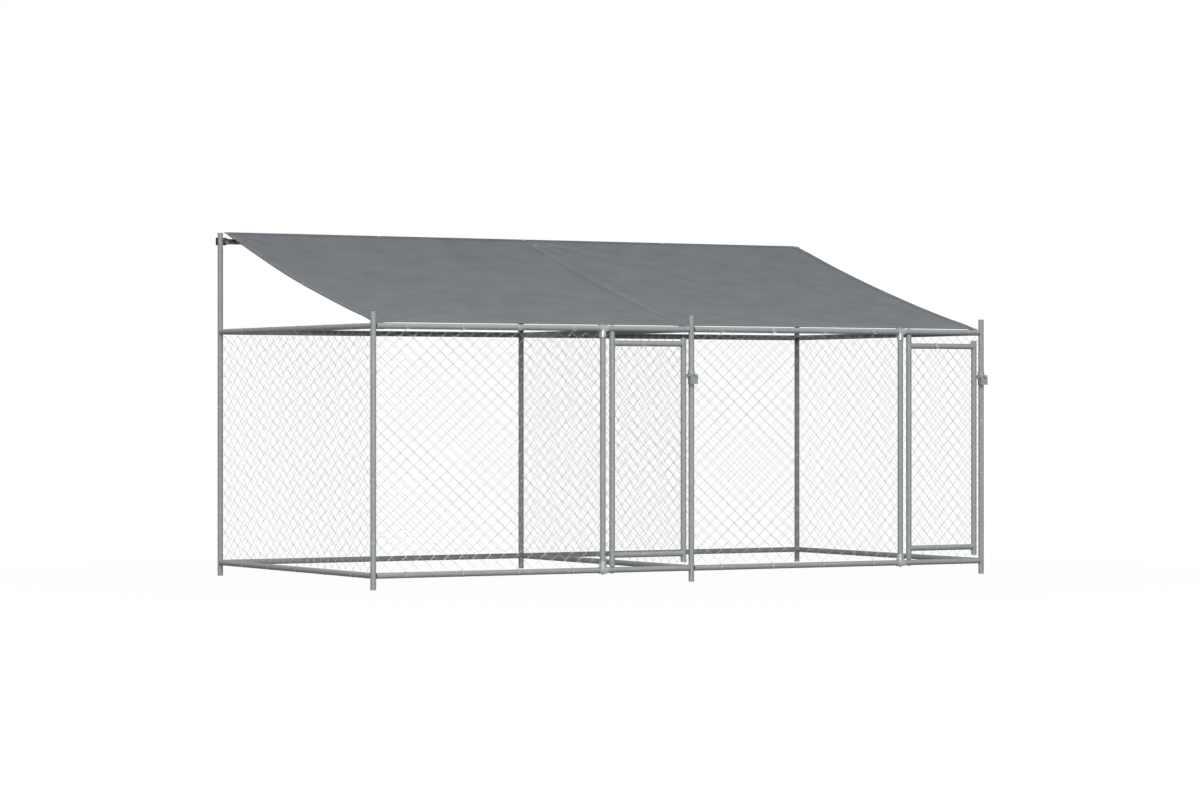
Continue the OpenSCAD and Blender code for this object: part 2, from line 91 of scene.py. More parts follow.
# Light that the white world gives the object
SKY_LIGHT = 0.42
# Each lamp's name, place, width in metres and power in watts
LAMPS = (
    ("key_light", (-8.0, -14.0, 17.0), 7.0, 2200),
    ("fill_light", (-7.0, -16.0, 2.6), 3.0, 950),
    ("back_light", (9.0, 17.0, 9.0), 7.0, 900),
)
LAMP_TARGET = Vector((0, 0, 0.8))
# The camera's place, turn in degrees and focal length in millimetres
CAMERA_PLACE = (-11.0747, -19.2325, 0.9999)
CAMERA_TURN = (90.0649, 0, -29.8805)
CAMERA_LENS = 113.484

# The body that each net rides on, and the axis that it runs along
NETS = {
    "net_side_left": ("frame", "y"),
    "net_side_right": ("frame", "y"),
    "net_divider": ("frame", "y"),
    "net_back_left": ("frame", "x"),
    "net_back_right": ("frame", "x"),
    "net_front_left": ("frame", "x"),
    "net_front_right": ("frame", "x"),
    "door_left_net": ("door_left", "x"),
    "door_right_net": ("door_right", "x"),
}


def linear(code):
    """Linear RGB of an sRGB hex colour."""
    parts = [int(code[i:i + 2], 16) / 255 for i in (1, 3, 5)]
    return [c / 12.92 if c <= 0.04045 else ((c + 0.055) / 1.055) ** 2.4 for c in parts]


def colour(label, text, code):
    """A colour setting with its default given as sRGB hex."""
    return bpy.props.FloatVectorProperty(
        name=label, description=text, subtype="COLOR", size=3, min=0, max=1, default=linear(code))


def length(label, text, value):
    """A length setting in metres."""
    return bpy.props.FloatProperty(
        name=label, description=text, default=value, min=0.0001, unit="LENGTH", precision=4)


class KennelNet(bpy.types.PropertyGroup):
    """Sizes of the chain-link net and its ties."""

    pitch: length("Half diamond across", "Half the width of a net diamond", 0.0435)
    rise: length("Half diamond up", "Half the height of a net diamond", 0.0388)
    wire: length("Wire", "Diameter of the net's wire", 0.0020)
    hook: length("Hook", "How far a bend reaches past its neighbour's", 0.0017)
    tie_wire: length("Tie wire", "Diameter of the wire that ties the net to the tubes", 0.0020)
    tie_step: bpy.props.IntProperty(
        name="Tie spacing", description="Half diamonds from one tie to the next", default=8, min=2)


class KennelRoof(bpy.types.PropertyGroup):
    """Sizes of the tarpaulin and what holds it."""

    thickness: length("Thickness", "Thickness of the coated cloth", 0.0010)
    hem: length("Hem", "Width of the folded hem", 0.035)
    hem_thickness: length("Hem thickness", "Thickness of the folded hem", 0.0022)
    sag: length("Sag", "Drop of the cloth at the middle of its slope", 0.030)
    eyelet_step: length("Eyelet spacing", "Distance between eyelets along a hem", 1.0)
    eyelet: length("Eyelet", "Outer radius of an eyelet", 0.0105)
    strap: length("Strap", "Thickness of the hem straps", 0.0015)
    cord: length("Cord", "Diameter of the cords at the back", 0.006)


class KennelDoor(bpy.types.PropertyGroup):
    """Sizes of the door frames' detail."""

    weld: length("Weld bead", "Width of the weld bead where a door rail meets a stile", 0.0050)


class KennelColours(bpy.types.PropertyGroup):
    """Base colours of the finishes."""

    tube: colour("Tube", "Galvanised steel tube", "#A7ABAB")
    zinc: colour("Fittings", "Bright zinc plating", "#B6B9BA")
    wire: colour("Net wire", "Galvanised wire", "#CDD0D2")
    tarp: colour("Tarpaulin", "Coated grey cloth", "#5D6267")
    strap: colour("Straps", "Grey webbing", "#A0A4A6")
    black: colour("Black pieces", "Black plastic and cord", "#161617")
    nylon: colour("Bushes", "Natural nylon", "#D9D9D2")
    floor: colour("Floor", "Pale studio floor", "#F2F2F2")


def settings():
    """The scene's kennel settings, by group."""
    scene = bpy.context.scene
    return SimpleNamespace(
        net=scene.kennel_net, roof=scene.kennel_roof, door=scene.kennel_door, colours=scene.kennel_colours)


# Modelling helpers

def clear_selection():
    """Leaves nothing selected, so an operator touches only the piece in hand."""
    if bpy.context.mode != "OBJECT":
        bpy.ops.object.mode_set(mode="OBJECT")
    bpy.ops.object.select_all(action="DESELECT")


def take(*pieces):
    """Selects these pieces alone, the first one active."""
    clear_selection()
    for piece in pieces:
        piece.select_set(True)
    bpy.context.view_layer.objects.active = pieces[0]


def edit_all():
    """Opens the active piece in edit mode with all of it selected."""
    bpy.ops.object.mode_set(mode="EDIT")
    bpy.ops.mesh.select_all(action="SELECT")


def modify(piece, kind, **values):
    """Adds a modifier with its settings and applies it."""
    take(piece)
    made = piece.modifiers.new(kind.title(), kind)
    for key, value in values.items():
        setattr(made, key, value)
    bpy.ops.object.modifier_apply(modifier=made.name)


def repeat(piece, count, step, **values):
    """Repeats a piece at a constant step."""
    modify(piece, "ARRAY", count=count, use_relative_offset=False, use_constant_offset=True,
           constant_offset_displace=step, **values)


def push(step):
    """Extrudes the selection by a step."""
    bpy.ops.mesh.extrude_region_move(TRANSFORM_OT_translate={"value": step})


def push_along(points):
    """Extrudes the selection from point to point."""
    for here, there in zip(points, points[1:]):
        push(Vector(there) - Vector(here))


def line_of(points):
    """Starts a piece as a chain of edges: one vertex, extruded from point to point."""
    clear_selection()
    bpy.ops.mesh.primitive_plane_add(size=0.001, location=points[0])
    bpy.ops.object.transform_apply(location=True, rotation=False, scale=False)
    edit_all()
    bpy.ops.mesh.merge(type="CENTER")
    push_along(points)
    bpy.ops.object.mode_set(mode="OBJECT")
    return bpy.context.object


def wire_of(points, radius, rounding=1, capped=True):
    """A bent wire: a chain of edges turned into a curve with a round section, then back into a mesh."""
    line_of(points)
    bpy.ops.object.convert(target="CURVE")
    curve = bpy.context.object.data
    curve.bevel_depth = radius
    curve.bevel_resolution = rounding
    curve.use_fill_caps = capped
    bpy.ops.object.convert(target="MESH")
    return bpy.context.object


def fix_normals(piece):
    """Merges doubles and turns the faces outwards."""
    take(piece)
    edit_all()
    bpy.ops.mesh.remove_doubles(threshold=0.00002)
    bpy.ops.mesh.normals_make_consistent(inside=False)
    bpy.ops.object.mode_set(mode="OBJECT")


def copies(pattern, places):
    """Copies a modelled piece to each placing matrix, joins the copies and returns them as one piece."""
    made = []
    for place in places:
        twin = pattern.copy()
        twin.data = pattern.data.copy()
        twin.matrix_world = place
        bpy.context.collection.objects.link(twin)
        made.append(twin)
    bpy.data.objects.remove(pattern)
    take(*made)
    bpy.ops.object.join()
    return bpy.context.object


def settle(piece, name, body, slot, finish, *nodes):
    """Names a finished piece, applies its place, gives it its finish and sets it on its body."""
    take(piece)
    bpy.ops.object.transform_apply(location=True, rotation=True, scale=True)
    piece.name = name
    piece.data.name = name
    piece.data.materials.clear()
    piece.data.materials.append(finish)
    bpy.ops.object.shade_smooth_by_angle(angle=math.radians(40))
    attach(piece, body)
    if nodes:
        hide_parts(*nodes)
    return piece


# Finishes

def add_node(tree, kind, inputs=None, **values):
    """Adds a shader node, sets it and links what its inputs name."""
    made = tree.nodes.new(kind)
    for key, value in values.items():
        setattr(made, key, value)
    for key, value in (inputs or {}).items():
        if isinstance(value, bpy.types.NodeSocket):
            tree.links.new(value, made.inputs[key])
        else:
            made.inputs[key].default_value = value
    return made


def new_finish(name):
    """An empty material and its shader."""
    made = bpy.data.materials.new(name)
    made.use_nodes = True
    return made, made.node_tree, made.node_tree.nodes["Principled BSDF"]


def rgba(base, gain=1.0):
    """A colour setting as RGBA, made lighter or darker by a gain."""
    return [min(1.0, c * gain) for c in base] + [1.0]


# In these finishes a Mix node takes its two colours on inputs 6 and 7 and gives their blend on output 2

def galvanised_steel(name, base, spangle_mm, roughness, metallic, gloss):
    """Hot-dip galvanised steel: crystals of zinc a few millimetres wide, some duller than others.
    The older the zinc, the more of its grey oxide shows and the less it mirrors."""
    cloud_mm = 111.0
    made, tree, shader = new_finish(name)
    place = add_node(tree, "ShaderNodeTexCoord")
    spangle = add_node(tree, "ShaderNodeTexVoronoi", {
        "Vector": place.outputs["Object"], "Scale": 1000 / spangle_mm, "Randomness": 1.0})
    tone = add_node(tree, "ShaderNodeSeparateColor", {"Color": spangle.outputs["Color"]})
    cloud = add_node(tree, "ShaderNodeTexNoise", {
        "Vector": place.outputs["Object"], "Scale": 1000 / cloud_mm, "Detail": 4.0, "Roughness": 0.6})
    blend = add_node(tree, "ShaderNodeMath", {
        0: tone.outputs["Red"], 1: cloud.outputs["Fac"]}, operation="MULTIPLY")
    skin = add_node(tree, "ShaderNodeMix", {
        "Factor": blend.outputs[0], 6: rgba(base, 0.86), 7: rgba(base, 1.22)}, data_type="RGBA")
    dull = add_node(tree, "ShaderNodeMapRange", {
        "Value": tone.outputs["Green"], "To Min": roughness - 0.06, "To Max": roughness + 0.08})
    bump = add_node(tree, "ShaderNodeBump", {
        "Height": cloud.outputs["Fac"], "Strength": 0.08, "Distance": 0.002})
    tree.links.new(skin.outputs[2], shader.inputs["Base Color"])
    tree.links.new(dull.outputs["Result"], shader.inputs["Roughness"])
    tree.links.new(bump.outputs["Normal"], shader.inputs["Normal"])
    shader.inputs["Metallic"].default_value = metallic
    shader.inputs["Specular IOR Level"].default_value = gloss
    shader.inputs["Specular Tint"].default_value = (0.5, 0.5, 0.5, 1.0)
    return made


def coated_cloth(name, base, rib_mm, mottle_mm, roughness):
    """Woven tape coated with plastic: a square weave under a dull skin, mottled where it was folded.
    The weave is drawn as ribs several times as wide as real threads, so that it shows."""
    crumple_mm = 455.0
    made, tree, shader = new_finish(name)
    place = add_node(tree, "ShaderNodeTexCoord")
    ribs = [
        add_node(tree, "ShaderNodeTexWave", {
            "Vector": place.outputs["Object"], "Scale": 1000 * WAVE_BAND / rib_mm, "Distortion": 0.4,
            "Detail": 1.0}, wave_type="BANDS", bands_direction=direction)
        for direction in ("X", "Y")]
    weave = add_node(tree, "ShaderNodeMath", {
        0: ribs[0].outputs["Fac"], 1: ribs[1].outputs["Fac"]}, operation="ADD")
    cloud = add_node(tree, "ShaderNodeTexNoise", {
        "Vector": place.outputs["Object"], "Scale": 1000 / crumple_mm, "Detail": 6.0, "Roughness": 0.55})
    mottle = add_node(tree, "ShaderNodeTexNoise", {
        "Vector": place.outputs["Object"], "Scale": 1000 / mottle_mm, "Detail": 5.0, "Roughness": 0.6})
    skin = add_node(tree, "ShaderNodeMix", {
        "Factor": mottle.outputs["Fac"], 6: rgba(base, 0.64), 7: rgba(base, 1.36)}, data_type="RGBA")
    thread = add_node(tree, "ShaderNodeBump", {
        "Height": weave.outputs[0], "Strength": 0.15, "Distance": 0.0004})
    crumple = add_node(tree, "ShaderNodeBump", {
        "Height": cloud.outputs["Fac"], "Strength": 0.25, "Distance": 0.02,
        "Normal": thread.outputs["Normal"]})
    tree.links.new(skin.outputs[2], shader.inputs["Base Color"])
    tree.links.new(crumple.outputs["Normal"], shader.inputs["Normal"])
    shader.inputs["Roughness"].default_value = roughness
    shader.inputs["Specular IOR Level"].default_value = 0.17
    shader.inputs["Sheen Weight"].default_value = 0.05
    return made


def sewn_hem(made, base, edge_shade_mm, seam_mm, stitch_mm):
    """Adds a hem to the tarpaulin's cloth: a darker band round the edge, which is painted shade of the
    hem's thick edge, and pale stitches inside it.
    The thread is drawn 1.8 mm thick, so that it shows."""
    half_thread_mm = 0.9
    stitched_share = 0.6
    tree = made.node_tree
    shader = tree.nodes["Principled BSDF"]
    skin = shader.inputs["Base Color"].links[0].from_socket
    place = add_node(tree, "ShaderNodeTexCoord")
    spot = add_node(tree, "ShaderNodeVectorMath", {
        0: place.outputs["Object"], 1: (TARP_LO + TARP_HI) / 2}, operation="SUBTRACT")
    away = add_node(tree, "ShaderNodeVectorMath", {0: spot.outputs["Vector"]}, operation="ABSOLUTE")
    inside = add_node(tree, "ShaderNodeVectorMath", {
        0: (TARP_HI - TARP_LO) / 2, 1: away.outputs["Vector"]}, operation="SUBTRACT")
    sides = add_node(tree, "ShaderNodeSeparateXYZ", {"Vector": inside.outputs["Vector"]})
    edge = add_node(tree, "ShaderNodeMath", {
        0: sides.outputs["X"], 1: sides.outputs["Y"]}, operation="MINIMUM")
    # Painted shade: marks the outer millimetres of the cloth, where the thick hem's edge falls in shade, to
    # be darkened
    shaded_edge = add_node(tree, "ShaderNodeMath", {
        0: edge.outputs[0], 1: edge_shade_mm / 1000}, operation="LESS_THAN")
    seam = add_node(tree, "ShaderNodeMath", {
        0: edge.outputs[0], 1: seam_mm / 1000, 2: half_thread_mm / 1000}, operation="COMPARE")
    along = add_node(tree, "ShaderNodeMath", {
        0: sides.outputs["X"], 1: sides.outputs["Y"]}, operation="ADD")
    beat = add_node(tree, "ShaderNodeMath", {
        0: along.outputs[0], 1: stitch_mm / 1000}, operation="FLOORED_MODULO")
    dash = add_node(tree, "ShaderNodeMath", {
        0: beat.outputs[0], 1: stitched_share * stitch_mm / 1000}, operation="LESS_THAN")
    sewn = add_node(tree, "ShaderNodeMath", {
        0: seam.outputs[0], 1: dash.outputs[0]}, operation="MULTIPLY")
    # Painted shade of the hem's edge: the cloth's colour is darkened within that band
    dark = add_node(tree, "ShaderNodeMix", {
        "Factor": shaded_edge.outputs[0], 6: skin, 7: rgba(base, 0.58)}, data_type="RGBA")
    thread = add_node(tree, "ShaderNodeMix", {
        "Factor": sewn.outputs[0], 6: dark.outputs[2], 7: rgba(base, 1.5)}, data_type="RGBA")
    tree.links.new(thread.outputs[2], shader.inputs["Base Color"])


def moulded_plastic(name, base, roughness):
    """Moulded plastic with the faint grain of its tool.
    The grain is drawn coarser than a real one, so that it shows close up."""
    grain_mm = 1.11
    made, tree, shader = new_finish(name)
    place = add_node(tree, "ShaderNodeTexCoord")
    grain = add_node(tree, "ShaderNodeTexNoise", {
        "Vector": place.outputs["Object"], "Scale": 1000 / grain_mm, "Detail": 2.0})
    skin = add_node(tree, "ShaderNodeMix", {
        "Factor": grain.outputs["Fac"], 6: rgba(base, 0.9), 7: rgba(base, 1.1)}, data_type="RGBA")
    bump = add_node(tree, "ShaderNodeBump", {
        "Height": grain.outputs["Fac"], "Strength": 0.2, "Distance": 0.0003})
    tree.links.new(skin.outputs[2], shader.inputs["Base Color"])
    tree.links.new(bump.outputs["Normal"], shader.inputs["Normal"])
    shader.inputs["Roughness"].default_value = roughness
    return made


FINISHES = {}


def finishes():
    """Every finish by the record's slot names, and the cord's, made once."""
    if not FINISHES:
        colours = settings().colours
        # Weathered zinc: grey oxide hides most of the metal's mirror
        FINISHES["galvanised_tube"] = galvanised_steel(
            "galvanised_steel_tube", colours.tube,
            spangle_mm=7.0, roughness=0.50, metallic=0.12, gloss=0.06)
        # Fresh plating: small crystals and a bright sheen
        FINISHES["zinc_fitting"] = galvanised_steel(
            "bright_zinc_plate", colours.zinc,
            spangle_mm=2.5, roughness=0.28, metallic=0.55, gloss=0.30)
        # Drawn wire: brighter than the tube, because drawing smooths its zinc
        FINISHES["net_wire"] = galvanised_steel(
            "galvanised_steel_wire", colours.wire,
            spangle_mm=2.0, roughness=0.36, metallic=0.75, gloss=0.20)
        FINISHES["tarp"] = coated_cloth(
            "coated_polyester", colours.tarp, rib_mm=18.85, mottle_mm=170.0, roughness=0.55)
        # The darker 8 mm band round the tarpaulin's edge is painted shade of the hem
        sewn_hem(FINISHES["tarp"], colours.tarp, edge_shade_mm=8.0, seam_mm=30.0, stitch_mm=10.0)
        FINISHES["tie_strap"] = coated_cloth(
            "grey_webbing", colours.strap, rib_mm=12.566, mottle_mm=12.0, roughness=0.70)
        FINISHES["black_plastic"] = moulded_plastic("black_polypropylene", colours.black, roughness=0.45)
        # Black cord: the same plastic as strands, which scatter the light and look duller
        FINISHES["black_cord"] = moulded_plastic("black_cord", colours.black, roughness=0.75)
        FINISHES["nylon"] = moulded_plastic("natural_nylon", colours.nylon, roughness=0.50)
    return FINISHES


class KENNEL_OT_frame_finish(bpy.types.Operator):
    """Give every node of the frame the finish of its slot, and the hinge pins the dull one of the tubes"""

    bl_idname = "kennel.frame_finish"
    bl_label = "Frame finishes"

    def execute(self, context):
        made = finishes()
        for part in frame["record"]["subparts"]:
            mesh = frame["nodes"][part["node"]].data
            mesh.materials.clear()
            dull = part["node"] == "hinge_pins"
            mesh.materials.append(made["galvanised_tube" if dull else part["material_slot"]])
        return {"FINISHED"}


# Nets and ties

def half_wire():
    """Half of the net wire's width along its panel, where it runs at about 45 degrees."""
    return settings().net.wire * math.sqrt(0.5)


def net_inset():
    """Distance from the axis of a tube to the net's outermost bends."""
    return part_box("net_back_left")[0].x + half_wire() + BAY


def first_knot(axis):
    """The half diamond that a panel's count of knots starts on.
    Panels that run along Y start on the other one, so their ties miss those of the front and back."""
    return 2 + axis


def net_plan(node):
    """Where a panel's net starts, its size, its counts of half diamonds, and the axis it runs along."""
    net = settings().net
    low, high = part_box(node)
    axis = 0 if NETS[node][1] == "x" else 1
    width = high[axis] - low[axis] - 2 * half_wire()
    height = high.z - low.z
    start = Vector(((low.x + high.x) / 2, (low.y + high.y) / 2, low.z))
    start[axis] = low[axis] + half_wire()
    cols = 2 * round(width / net.pitch / 2)
    rows = 2 * round(height / net.rise / 2)
    return start, width, height, cols, rows, axis


def net_panel(node):
    """A chain-link panel: one turn of a flattened spiral wire, repeated up and across, cut at the rails."""
    net = settings().net
    start, width, height, cols, rows, axis = net_plan(node)
    px, pz = width / cols, height / rows
    # The wire lies in front of the panel's plane on the way up to a bend, and behind it on the way back
    hook, lift, near = net.hook, net.wire * 0.55, net.hook * 0.9
    lean = (px + 2 * hook) * near / pz
    turn = [
        (-hook, 0, 0), (-hook + lean, -lift, near), (px + hook - lean, -lift, pz - near),
        (px + hook, 0, pz), (px + hook - lean, lift, pz + near), (-hook + lean, lift, 2 * pz - near),
        (-hook, 0, 2 * pz)]
    clear_selection()
    bpy.ops.mesh.primitive_circle_add(
        vertices=6, radius=net.wire / 2, location=turn[0], fill_type="NOTHING")
    piece = bpy.context.object
    edit_all()
    # A level section of a wire at 45 degrees is wider than the wire
    bpy.ops.transform.resize(value=(math.sqrt(2), 1, 1), center_override=turn[0])
    push_along(turn)
    bpy.ops.object.mode_set(mode="OBJECT")
    # Three turns more than the panel's height, because the wire starts below it and is cut
    repeat(piece, rows // 2 + 3, (0, 0, 2 * pz), use_merge_vertices=True, merge_threshold=0.00005)
    repeat(piece, 2, (px, 0, pz))
    piece.location.z -= first_knot(axis) * pz
    take(piece)
    bpy.ops.object.transform_apply(location=True)
    bpy.ops.object.mode_set(mode="EDIT")
    for level, side in ((0, -1), (height, 1)):
        bpy.ops.mesh.select_all(action="SELECT")
        bpy.ops.mesh.bisect(
            plane_co=(0, 0, level), plane_no=(0, 0, side), use_fill=True, clear_outer=True)
    bpy.ops.mesh.select_all(action="SELECT")
    bpy.ops.mesh.normals_make_consistent(inside=False)
    bpy.ops.object.mode_set(mode="OBJECT")
    repeat(piece, cols // 2, (2 * px, 0, 0))
    piece.rotation_euler.z = math.pi / 2 if axis else 0
    piece.location = start
    return settle(piece, node + "_wires", NETS[node][0], "net_wire", finishes()["net_wire"], node)


class KENNEL_OT_nets(bpy.types.Operator):
    """Weave the chain-link panels of the run and its doors"""

    bl_idname = "kennel.nets"
    bl_label = "Chain-link nets"

    def execute(self, context):
        for node in NETS:
            net_panel(node)
        return {"FINISHED"}


def tie_pattern():
    """A tie: a wire round a tube on Z and the net's bend on +X, its two ends twisted together on -Y."""
    net = settings().net
    radius = net.tie_wire / 2
    seat = TUBE_R + SEAT + radius
    reach = net_inset() - net.hook + (net.wire / 2 + radius + SEAT) * math.sqrt(2)
    # The wire's bends round the tube, in degrees
    first, sweep, bends = -62, 236, 11
    loop = []
    for step in range(bends + 1):
        turn = math.radians(first - sweep * step / bends)
        loop.append(Vector((seat * math.cos(turn), seat * math.sin(turn), 0)))
    # The nip round the net's bend
    depth, spread = 0.003, 0.0042
    for side in (1, 0, -1):
        loop.append(Vector((reach - depth * abs(side), spread * side, 0)))
    # The twist: two strands that turn about each other and climb along the tube
    knot = Vector((seat * 0.72, -seat * 0.86, 0))
    twist_step, out_step, climb_step, steps = 1.05, 0.0006, 0.0022, 8
    strands = []
    for start in (0, math.pi):
        strand = []
        for k in range(steps):
            turn = start + twist_step * k
            strand.append(knot + Vector((
                radius * math.cos(turn), -out_step * k + radius * math.sin(turn), climb_step * k)))
        strands.append(strand)
    return wire_of(strands[0][::-1] + loop + strands[1], radius)


def behind_latch(spot):
    """Whether a place on a post of the front is behind a latch case, where no tie fits."""
    beside, above, deep = 0.03, 0.10, 0.01
    on_post = any(abs(spot.x - post) < beside for post in (0, BAY))
    return on_post and abs(spot.z - LATCH_Z) < above and spot.y < FRONT_Y + deep


def tie_places(node):
    """A placing matrix for every tie of a panel: X from the tube to the net, Y into the run."""
    step = settings().net.tie_step
    start, width, height, cols, rows, axis = net_plan(node)
    px, pz = width / cols, height / rows
    across = 1 - axis
    along, inward, up = Vector((0, 0, 0)), Vector((0, 0, 0)), Vector((0, 0, 1))
    along[axis] = 1
    inward[across] = 1 if node == "net_divider" else math.copysign(1, -start[across])
    inset = net_inset()
    first = first_knot(axis)
    edges = []
    for k in range(first + 2, rows - 1, step):
        edges.append((start - inset * along + k * pz * up, along))
    for k in range(first + 4, rows - 1, step):
        edges.append((start + (width + inset) * along + k * pz * up, -along))
    for j in range(first + 2, cols - 2, step):
        edges.append((start + j * px * along - inset * up, up))
        edges.append((start + j * px * along + (height + inset) * up, -up))
    places = []
    for spot, out in edges:
        if not behind_latch(spot):
            turn = Matrix((out, inward, out.cross(inward))).transposed()
            places.append(Matrix.Translation(spot) @ turn.to_4x4())
    return places


class KENNEL_OT_net_ties(bpy.types.Operator):
    """Tie the nets to their tubes with twisted wire"""

    bl_idname = "kennel.net_ties"
    bl_label = "Net ties"

    def execute(self, context):
        nodes = {"frame": "net_ties", "door_left": "door_left_ties", "door_right": "door_right_ties"}
        for body, node in nodes.items():
            places = [place for net in NETS if NETS[net][0] == body for place in tie_places(net)]
            ties = copies(tie_pattern(), places)
            settle(ties, node + "_wire", body, "net_wire", finishes()["net_wire"], node)
        return {"FINISHED"}


# Doors

def weld_bead(rail_radius, stile_radius):
    """A weld bead along the saddle where a rail on X ends on a stile on Z.
    It is filled out at the saddle's two tips and rippled by its runs."""
    fill, ripple, ripples, steps = 0.005, 0.00025, 18, 108
    points = []
    for step in range(steps + 1):
        turn = 2 * math.pi * step / steps
        out = rail_radius + ripple * math.cos(ripples * turn)
        x = math.sqrt(stile_radius ** 2 + fill ** 2 - (rail_radius * math.sin(turn)) ** 2)
        points.append(Vector((x, out * math.sin(turn), out * math.cos(turn))))
    return wire_of(points, settings().door.weld / 2, capped=False)


class KENNEL_OT_door_welds(bpy.types.Operator):
    """Run a weld bead round each corner joint of the door frames"""

    bl_idname = "kennel.door_welds"
    bl_label = "Door welds"

    def execute(self, context):
        for door in ("door_left", "door_right"):
            places = []
            for stile, side in (("hinge", 1), ("latch", -1)):
                low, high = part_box(f"{door}_{stile}_stile")
                for rail in ("top", "bottom"):
                    lower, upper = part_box(f"{door}_{rail}_rail")
                    middle = (lower + upper) / 2
                    middle.x = (low.x + high.x) / 2
                    places.append(Matrix.Translation(middle) @ Matrix.Scale(side, 4, (1, 0, 0)))
            bead = weld_bead((upper.z - lower.z) / 2, (high.x - low.x) / 2)
            beads = copies(bead, places)
            settle(beads, door + "_weld_beads", door, "galvanised_tube", finishes()["galvanised_tube"])
            fix_normals(beads)
        return {"FINISHED"}


# Tarpaulin

def slope_share(y):
    """How far a place is up the tarpaulin's slope, from 0 at the front edge to 1 at the back one."""
    return (y - TARP_LO.y) / (TARP_HI.y - TARP_LO.y)


def tarp_height(y):
    """Height of the tarpaulin's underside at a place along its slope, as the frame's own sheet sags."""
    share = slope_share(y)
    front, back = TOP_Z + TUBE_R + TARP_ON_RAIL, BACK_H + TARP_ON_POST
    return front + (back - front) * share - 4 * settings().roof.sag * share * (1 - share)


def ridge(away, height, half_width):
    """Height of a long fold at a distance from its crest."""
    return height / (1 + (away / half_width) ** 2)


def fan(away, rays, phase, height, reach, clear):
    """Height of the folds that fan out from a point where the cloth is held, and fade with the distance."""
    rise = math.cos(rays * math.atan2(away.y, away.x) + phase) ** 2
    return height * rise * math.exp(-away.length / reach) * min(1.0, away.length / clear)


def tarp_folds(x, y):
    """How far the cloth is lifted: by a fold drawn tight between the middle posts, one that leaves it,
    fans at the straps and back posts, slack waves, and a gap under the front hem between the straps."""
    share = slope_share(y)
    swell = math.sin(math.pi * share)
    ease = min(1.0, share * 12) * min(1.0, (1 - share) * 12)
    across = x + 0.03 * (1 - share)
    lift = ridge(across, height=0.007, half_width=0.022) * (0.35 + 0.65 * swell)
    lift += ridge(across - 0.20 * share - 0.05, height=0.003, half_width=0.030) * swell
    for strap in STRAP_X:
        away = Vector((x - strap, y - TARP_LO.y + 0.02))
        lift += fan(away, rays=9, phase=40 * strap, height=0.006, reach=0.30, clear=0.06)
    for post in (-BAY, 0, BAY):
        away = Vector((x - post, TARP_HI.y + 0.02 - y))
        lift += fan(away, rays=7, phase=1.0, height=0.005, reach=0.35, clear=0.08)
    slack = math.sin(2.9 * x + 0.8) * math.sin(5.3 * y + 1.1 * x) + 0.5 * math.sin(7.1 * x - 2.3 * y)
    lift += 0.0018 * slack * swell
    apart = max(0.0, min(abs(x - strap) for strap in STRAP_X) - STRAP_W / 2)
    gape = 0.0018 * min(1.0, apart / 0.08) * max(0.0, 1 - share * 8)
    return gape + ease * lift


def on_tarp(x, y):
    """A placing matrix on the tarpaulin's underside, tilted with its slope."""
    near = 0.005
    slope = math.atan2(tarp_height(y + near) - tarp_height(y - near), 2 * near)
    place = Matrix.Translation((x, y, tarp_height(y) + tarp_folds(x, y)))
    return place @ Matrix.Rotation(slope, 4, "X")


def eyelet_places():
    """Where the eyelets sit: at even steps along the four hems, and one above the middle cord's knot."""
    roof = settings().roof
    inset = roof.hem * 0.42
    spots = []
    low, high = TARP_LO.x + inset, TARP_HI.x - inset
    count = round((high - low) / roof.eyelet_step)
    for k in range(count + 1):
        x = low + (high - low) * k / count
        spots += [(x, y) for y in (TARP_LO.y + inset, TARP_HI.y - inset)]
    front, back = TARP_LO.y + inset, BACK_Y - CORD_REACH
    count = round((back - front) / roof.eyelet_step)
    for k in range(1, count + 1):
        y = front + (back - front) * k / count
        spots += [(x, y) for x in (low, high)]
    return spots + [(CORD_SIDE, back)]


def tarp_lines(axis):
    """The grid's lines along X or Y: both edges of the hems, and even steps between them."""
    hem, cells = settings().roof.hem, TARP_CELLS[axis]
    low, high = TARP_LO[axis], TARP_HI[axis]
    first, last = low + hem * 1.08, high - hem * 1.08
    inner = [first + (last - first) * k / (cells - 4) for k in range(cells - 3)]
    return [low, low + hem] + inner + [high - hem, high]


def eyelet_ring():
    """A rolled eyelet about Z, with a lip above and below the hem."""
    roof = settings().roof
    rim, hole, thick = roof.eyelet, roof.eyelet * 0.55, roof.hem_thickness
    section = [
        (hole, 0, thick / 2), (hole * 1.08, 0, thick + 0.0009), (hole * 1.3, 0, thick + 0.0013),
        (rim * 0.93, 0, thick + 0.0006), (rim, 0, thick), (rim, 0, 0), (rim * 0.93, 0, -0.0006),
        (hole * 1.3, 0, -0.0013), (hole * 1.08, 0, -0.0009)]
    ring = line_of(section + section[:1])
    edit_all()
    bpy.ops.mesh.remove_doubles(threshold=0.00001)
    bpy.ops.mesh.spin(steps=16, angle=2 * math.pi, center=(0, 0, 0), axis=(0, 0, 1))
    bpy.ops.object.mode_set(mode="OBJECT")
    fix_normals(ring)
    return ring


